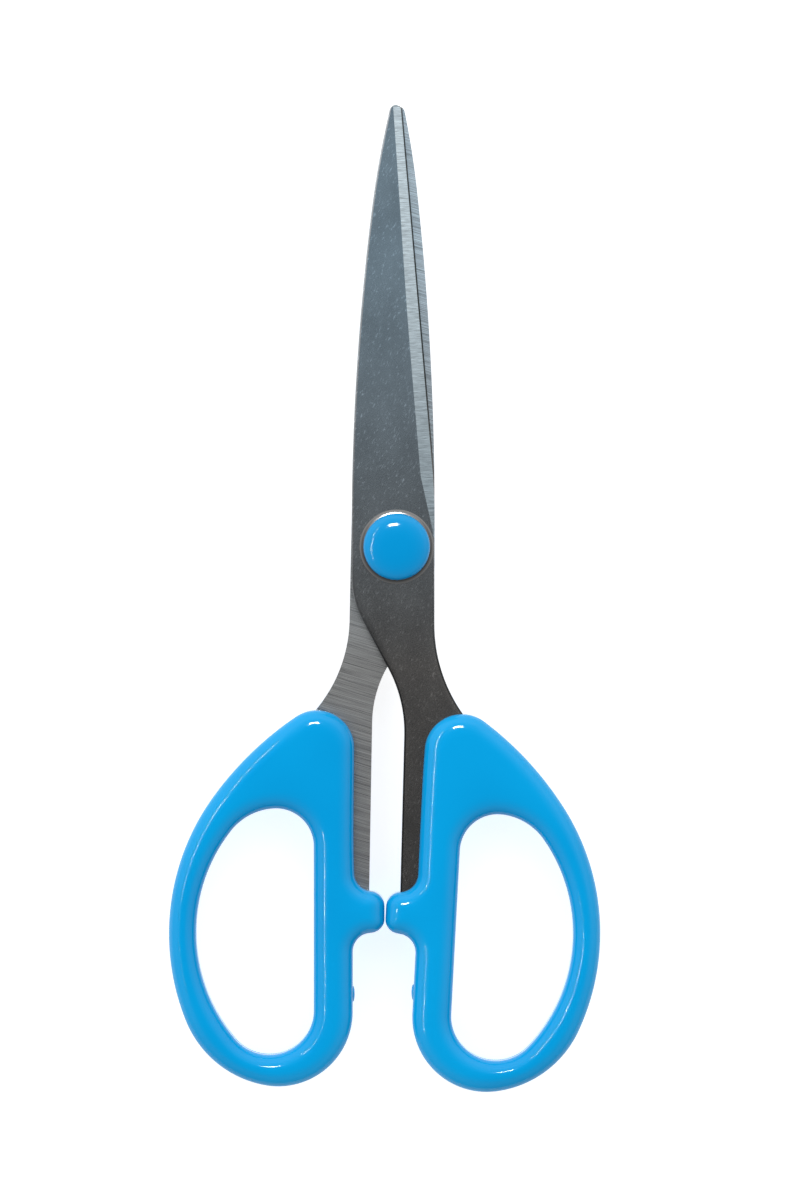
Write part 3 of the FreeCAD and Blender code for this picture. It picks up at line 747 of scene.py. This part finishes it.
# %% Shape a blade's section
RIM_RADIUS = 0.34
RIM_SHARE = 0.11
RIM_STEPS = (0.0, 0.06, 0.2, 0.42, 0.7, 1.0)
FLAT_STEPS = 9
BEVEL_STEPS = (1.0, 0.75, 0.5, 0.25, 0.0)
EDGE_WIDTH, EDGE_THICKNESS = 0.27, 0.04
EDGE_RUN_OUT, EDGE_SHARE = 6.0, 0.4
NEAR_INSIDE, NEAR_FACE, MID_BEVEL = 0.05, 0.03, 0.5
PIVOT_LAND_TOP = 1.6
LEAST_BEVEL, WIDEST_BEVEL_SHARE = 0.12, 0.85
HOLLOW = 0.13
HOLLOW_FROM, HOLLOW_TO, HOLLOW_RUN = 14.0, 70.0, 6.0
HOLLOW_LEFT, HOLLOW_SIDES, FULL_HOLLOW_WIDTH = 1.0, 2.1, 15.0
KINK_FROM, KINK_TO, KINK_STEP = 5, 30, 0.25


def rim_drop(inward, radius):
    """How far a rounded rim lies under the flat, at a distance in from the side."""
    short = np.clip(radius - inward, 0, radius)
    return radius - np.sqrt(radius ** 2 - short ** 2)


def hollow_height(across, left, right, height):
    """How far the hollow-ground inner face is lifted off the plane where the blades meet."""
    if not HOLLOW_FROM < height < HOLLOW_TO:
        return 0.0 * across
    width = right - left
    share = np.clip((across - left - HOLLOW_LEFT) / max(width - HOLLOW_SIDES, 0.1), 0, 1)
    ends = min(height - HOLLOW_FROM, HOLLOW_TO - height) / HOLLOW_RUN
    return HOLLOW * min(ends, 1.0) * 4 * share * (1 - share) * width / FULL_HOLLOW_WIDTH


class Blank:
    """A blade's outline and its bevel, read from level cuts of the engineering model."""

    def __init__(self, node, facing):
        self.inner, self.thickness = inner_level(node, facing)

        def sides(level):
            return Sides(node, self.inner + facing * level, facing)

        self.outline = sides(NEAR_INSIDE)
        self.face = sides(self.thickness - NEAR_FACE)
        self.bevel = sides(self.thickness - MID_BEVEL)
        heights = np.arange(KINK_FROM, KINK_TO, KINK_STEP)
        widths = [self.outline.at(v)[1] - self.face.at(v)[1] for v in heights]
        self.kink = heights[int(np.argmax(widths))]
        self.top = self.face.loop[:, 1].max() - 0.1

    def bevel_at(self, height):
        """Where the bevel begins across the blade, and how steeply it falls."""
        held = min(height, self.top)
        steady = max(held, self.kink + 1.0)
        run = self.bevel.at(steady)[1] - self.face.at(steady)[1]
        slope = (MID_BEVEL - NEAR_FACE) / run
        return self.face.at(held)[1] - NEAR_FACE / slope, slope

    def section(self, height):
        """One closed cross-section: across the outer face, down, and back across the inner face."""
        left, right = self.outline.at(height)
        width = right - left
        start, slope = self.bevel_at(height)
        bevel = np.clip(right - start, 0, WIDEST_BEVEL_SHARE * width)
        if height < PIVOT_LAND_TOP or bevel < LEAST_BEVEL:
            bevel = 0.0
        rim = min(RIM_RADIUS, RIM_SHARE * width)
        edge = min(EDGE_WIDTH, EDGE_SHARE * bevel)
        edge *= np.clip((height - self.kink + EDGE_RUN_OUT) / EDGE_RUN_OUT, 0, 1)
        on_left = left + rim * np.array(RIM_STEPS)
        on_right = right - edge - (max(bevel, rim) - edge) * np.array(BEVEL_STEPS)
        flat = np.linspace(on_left[-1], on_right[0], FLAT_STEPS + 2)[1:-1]
        across = np.concatenate([on_left, flat, on_right, [right]])
        top = self.thickness - rim_drop(across - left, rim)
        top = np.minimum(top, self.thickness - slope * np.clip(bevel - (right - across), 0, None))
        if bevel < rim:
            top = np.minimum(top, self.thickness - rim_drop(right - across, rim))
        if edge > 0.01:
            top[-1] = EDGE_THICKNESS
        under = np.linspace(right, left, len(across))
        lifted = hollow_height(under, left, right, height)
        level = np.full(len(across), height)
        return np.concatenate([np.column_stack([across, level, top]),
                               np.column_stack([under, level, lifted])])


print("rims rounded by", RIM_RADIUS, "mm, cutting edge", EDGE_THICKNESS, "mm thick")

# %% [markdown]
# Stations are even along the blade and crowd together at the tip, where the outline closes in a small
# round. Every strip keeps the number of its finish: outer face, bevel, rim, inner face or edge.
# The rivet's hole is cut last, with a boolean, because a hole would break the even strips.

# %% Build a blade
OUTER, BEVEL, RIM, INNER, EDGE = range(5)
STATION_STEP = 0.45
TIP_LENGTH, TIP_STATIONS, TIP_MARGIN = 3.0, 26, 0.004
EDGE_SHADOW_BELOW_KINK = 4.0
DRILL_REACH, DRILL_SIDES = 6.0, 64
BLADE_CREASE = math.radians(24)
HOLE_LEVEL = 0.8


def stations(bottom, top):
    """The heights of a blade's cross-sections, from its foot to its tip."""
    even = np.arange(bottom, top - TIP_LENGTH, STATION_STEP)
    rise = np.sin(np.linspace(0, math.pi / 2, TIP_STATIONS))
    return np.concatenate([even, top - TIP_LENGTH * (1 - rise) - TIP_MARGIN])


def build_blade(node, name, facing, body):
    """A finished blade that stands for a CAD blade; facing is 1 in front and -1 at the back."""
    blank = Blank(node, facing)
    heights = stations(blank.outline.loop[:, 1].min() + 0.02, blank.outline.loop[:, 1].max())
    rows = [blank.section(v) for v in heights]
    around = len(rows[0])
    verts = np.concatenate(rows)
    verts = np.column_stack([
        pivot_x + facing * verts[:, 0],
        pivot_y + verts[:, 1],
        blank.inner + facing * verts[:, 2],
    ])
    faces = strips(len(rows), around)
    finishes = []
    rim_end, bevel_begin = len(RIM_STEPS) - 1, len(RIM_STEPS) + FLAT_STEPS
    edge_begin = bevel_begin + len(BEVEL_STEPS) - 1
    for height in heights[:-1]:
        for k in range(around):
            if k < rim_end or k == around - 1:
                finishes.append(RIM)
            elif k < bevel_begin:
                finishes.append(OUTER)
            elif k < edge_begin:
                finishes.append(BEVEL if height > PIVOT_LAND_TOP else RIM)
            elif k < edge_begin + 2:
                # The painted shadow runs along the edge from a little below the kink to the tip.
                finishes.append(EDGE if height > blank.kink - EDGE_SHADOW_BELOW_KINK else RIM)
            else:
                finishes.append(INNER)
    faces.append(tuple(range(around))[::-1])
    faces.append(tuple((len(rows) - 1) * around + k for k in range(around)))
    finishes += [RIM, RIM]
    blade = new_object(name, verts, faces)
    for finish in blade_finishes:
        blade.data.materials.append(finish)
    blade.data.polygons.foreach_set("material_index", finishes)
    mend_normals(blade)
    drill_rivet_hole(blade)
    blade.data.shade_smooth()
    blade.data.set_sharp_from_angle(angle=BLADE_CREASE)
    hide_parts(node)
    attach(blade, body)
    print(name, len(blade.data.vertices), "vertices, bevel widest", round(blank.kink, 1),
          "mm over the pivot")
    return blade


def drill_rivet_hole(blade):
    """Cut the pivot hole with a boolean and keep the result as the blade's own mesh."""
    turn = 2 * math.pi / DRILL_SIDES
    verts = [(math.cos(turn * k) * hole_radius + pivot_x, math.sin(turn * k) * hole_radius + pivot_y,
              pivot_z + end) for end in (-DRILL_REACH, DRILL_REACH) for k in range(DRILL_SIDES)]
    faces = strips(2, DRILL_SIDES)
    faces += [tuple(range(DRILL_SIDES))[::-1], tuple(range(DRILL_SIDES, 2 * DRILL_SIDES))]
    drill = new_object("drill", verts, faces)
    cut = blade.modifiers.new("rivet_hole", "BOOLEAN")
    cut.object = drill
    cut.operation = "DIFFERENCE"
    cut.solver = "EXACT"
    bpy.context.view_layer.update()
    drilled = blade.evaluated_get(bpy.context.evaluated_depsgraph_get())
    finished = bpy.data.meshes.new_from_object(drilled)
    blade.modifiers.clear()
    blade.data = finished
    bpy.data.objects.remove(drill)


def off_pivot(loop):
    """How far the middle of a loop lies from the pivot."""
    return np.linalg.norm(loop.mean(axis=0) - (pivot_x, pivot_y))


rivet_hole = min(level_cut("front_blade", front_inner + HOLE_LEVEL), key=off_pivot)
hole_radius = np.linalg.norm(rivet_hole - rivet_hole.mean(axis=0), axis=1).max()
blades = [build_blade("front_blade", "front_ground_blade", 1, "front_half"),
          build_blade("back_blade", "back_ground_blade", -1, "back_half")]

# %% [markdown]
# The pivot shows a bright washer and a domed cap on each side. All of them are round, so they are
# turned, as on a lathe: a profile of radius and height is carried round the pivot's axis. The cap's
# dome is a superellipse again, low in the middle and quick at its shoulder.

# %% Turn the washers and caps
LATHE_STEPS = 96
LATHE_CREASE = math.radians(40)
COLLAPSED = 1e-8


def turned(name, profile, facing, base):
    """Carry a closed profile of (radius, height) round the pivot, with its height along facing."""
    verts, faces = [], []
    count = len(profile)
    for step in range(LATHE_STEPS):
        turn = 2 * math.pi * step / LATHE_STEPS
        for radius, height in profile:
            verts.append((pivot_x + radius * math.cos(turn), pivot_y + radius * math.sin(turn),
                          base + facing * height))
    for step in range(LATHE_STEPS):
        ahead = (step + 1) % LATHE_STEPS
        for k in range(count):
            beyond = (k + 1) % count
            faces.append((step * count + k, ahead * count + k,
                          ahead * count + beyond, step * count + beyond))
    thing = new_object(name, verts, faces)
    work = bmesh.new()
    work.from_mesh(thing.data)
    bmesh.ops.remove_doubles(work, verts=work.verts[:], dist=COLLAPSED)
    bmesh.ops.dissolve_degenerate(work, dist=COLLAPSED, edges=work.edges[:])
    work.to_mesh(thing.data)
    work.free()
    mend_normals(thing)
    thing.data.shade_smooth()
    thing.data.set_sharp_from_angle(angle=LATHE_CREASE)
    return thing


def seat_of(node, facing):
    """Where a round piece sits, its radius and its height."""
    low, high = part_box(node)
    seat = (low.z if facing > 0 else high.z) / MM
    return seat, (high.x - low.x) / MM / 2, (high.z - low.z) / MM


CAP_RIM, CAP_POWER, CAP_CHAMFER = 0.55, 2.7, 0.12
CAP_CAVITY_RADIUS, CAP_CAVITY_HEIGHT = 4.5, 0.85
DOME_STEPS = 28


def cap_profile(radius, height):
    """Half of a cap's section, from the roof of its cavity out to the rim and over the dome."""
    dome = height - CAP_RIM
    spots = [(0.0, CAP_CAVITY_HEIGHT), (CAP_CAVITY_RADIUS, CAP_CAVITY_HEIGHT),
             (CAP_CAVITY_RADIUS, 0.0), (radius - CAP_CHAMFER, 0.0), (radius, CAP_CHAMFER)]
    for angle in np.linspace(0, math.pi / 2, DOME_STEPS):
        out = radius * math.cos(angle) ** (2 / CAP_POWER)
        spots.append((out, CAP_RIM + dome * math.sin(angle) ** (2 / CAP_POWER)))
    spots[-1] = (0.0, height)
    return spots


WASHER_FLAT_RADIUS, WASHER_DISH, WASHER_EDGE = 5.9, 0.18, 0.03
FLAT_ROUND_OFF = (0.2, 0.04)
PIN_BORE, BARREL_BORE = 1.5, 2.5


def washer_profile(radius, height, bore):
    """Half of a washer's section: flat in the middle and dished down to its edge."""
    edge = height - WASHER_DISH
    outwards, down = FLAT_ROUND_OFF
    return [(bore, 0.0), (radius - WASHER_EDGE, 0.0), (radius, WASHER_EDGE),
            (radius, edge - WASHER_EDGE), (radius - WASHER_EDGE, edge),
            (WASHER_FLAT_RADIUS + outwards, height - down), (WASHER_FLAT_RADIUS, height),
            (bore, height)]


caps, washers = [], []
for side, facing, bore in (("front", 1, PIN_BORE), ("back", -1, BARREL_BORE)):
    seat, radius, height = seat_of(side + "_cap", facing)
    cap = turned(side + "_domed_cap", cap_profile(radius, height), facing, seat)
    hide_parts(side + "_cap")
    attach(cap, "back_half")
    caps.append(cap)
    washer_seat, washer_radius, washer_height = seat_of(side + "_washer", facing)
    profile = washer_profile(washer_radius, washer_height, bore)
    washer = turned(side + "_bright_washer", profile, facing, washer_seat)
    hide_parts(side + "_washer")
    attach(washer, "back_half")
    washers.append(washer)
    print(side, "cap", round(2 * radius, 2), "mm, washer", round(2 * washer_radius, 2), "mm")

# %% [markdown]
# The handles and caps are moulded in a glossy blue plastic. Its colour drifts a little from place to
# place, its gloss is broken by faint wear, and its skin has the slight waviness called orange peel.

# %% Mix the blue plastic
def blue_plastic(name, deep, bright, peel_size):
    """Glossy plastic between a deep and a bright blue, with orange peel of a given size."""
    finish = Finish(name, IOR=1.49, Specular_IOR_Level=0.27)
    drift = finish.noise(finish.stretched((24, 24, 24)), 1.0)
    colour = finish.blend(finish.spread(drift, 0.35, 0.65, 0.0, 1.0), deep, bright)
    wear = finish.noise(finish.stretched((1.6, 5.0, 1.6), 20), 5.0, 0.7)
    gloss = finish.spread(wear, 0.4, 0.75, 0.06, 0.11)
    peel = finish.noise(finish.stretched((peel_size,) * 3), 2.0)
    relief = finish.bumps(peel, 0.004)
    return finish.paint(Base_Color=colour, Roughness=gloss, Normal=relief)


handle_blue = blue_plastic("handle_blue_plastic", (0.0012, 0.262, 0.57), (0.0016, 0.286, 0.605), 2.4)
cap_blue = blue_plastic("cap_blue_plastic", (0.0012, 0.225, 0.51), (0.0016, 0.243, 0.535), 1.6)
handle_pieces = [front_bow, back_bow, front_mark, back_mark]
for pieces, plastic in ((handle_pieces, handle_blue), (caps, cap_blue)):
    for piece in pieces:
        piece.data.materials.append(plastic)
print("plastics:", handle_blue.name, cap_blue.name)

# %% [markdown]
# The washers and the rivet were turned, which leaves fine rings round the axis. The rings come from a
# noise over the distance to the axis.

# %% Finish the turned steel
def turned_steel(name, colour, roughness, ring_size):
    """Steel with rings round the pivot's axis."""
    finish = Finish(name, Metallic=1.0)
    from_axis = finish.stretched((ring_size,) * 3, 0.0, (pivot_x, pivot_y, 0))
    level = finish.nodes.new("ShaderNodeVectorMath")
    level.operation = "MULTIPLY"
    level.inputs[1].default_value = (1, 1, 0)
    length = finish.nodes.new("ShaderNodeVectorMath")
    length.operation = "LENGTH"
    finish.links.new(from_axis, level.inputs[0])
    finish.links.new(level.outputs["Vector"], length.inputs[0])
    distance = finish.nodes.new("ShaderNodeCombineXYZ")
    finish.links.new(length.outputs["Value"], distance.inputs["X"])
    rings = finish.noise(distance.outputs["Vector"], 3.0, 0.6)
    dull = tuple(part * 0.86 for part in colour)
    tint = finish.blend(finish.spread(rings, 0.35, 0.65, 0.0, 1.0), colour, dull)
    gloss = finish.spread(rings, 0.3, 0.7, roughness - 0.04, roughness + 0.06)
    relief = finish.bumps(rings, 0.006)
    return finish.paint(Base_Color=tint, Roughness=gloss, Normal=relief)


washer_steel = turned_steel("washer_bright_steel", (0.21, 0.21, 0.21), 0.17, 0.12)
rivet_steel = turned_steel("rivet_steel", (0.62, 0.61, 0.60), 0.30, 0.2)
for washer in washers:
    washer.data.materials.append(washer_steel)
for node in ("pivot_barrel", "pivot_pin"):
    for material_slot in frame["nodes"][node].material_slots:
        material_slot.material = rivet_steel
    print(node, "material slots:", len(frame["nodes"][node].material_slots))

# %% [markdown]
# A lamp that makes a crisp glint on plastic would burn a white patch into flat steel at some angles.
# In a studio a black flag keeps it off the steel. Here each lamp gets a list of the pieces it lights.

# %% Flag the lamps
def light_only(lamp, things):
    """Let a lamp light only these pieces."""
    lit = bpy.data.collections.new(lamp.name + "_lights")
    for thing in things:
        lit.objects.link(thing)
    lamp.light_linking.receiver_collection = lit


light_only(lamp_left, handle_pieces + caps)
light_only(lamp_beyond_tips, handle_pieces + caps + washers)
light_only(panel_over_steel, washers + blades)
print("pieces under the two small lamps:", [thing.name for thing in handle_pieces + caps + washers])

# %% [markdown]
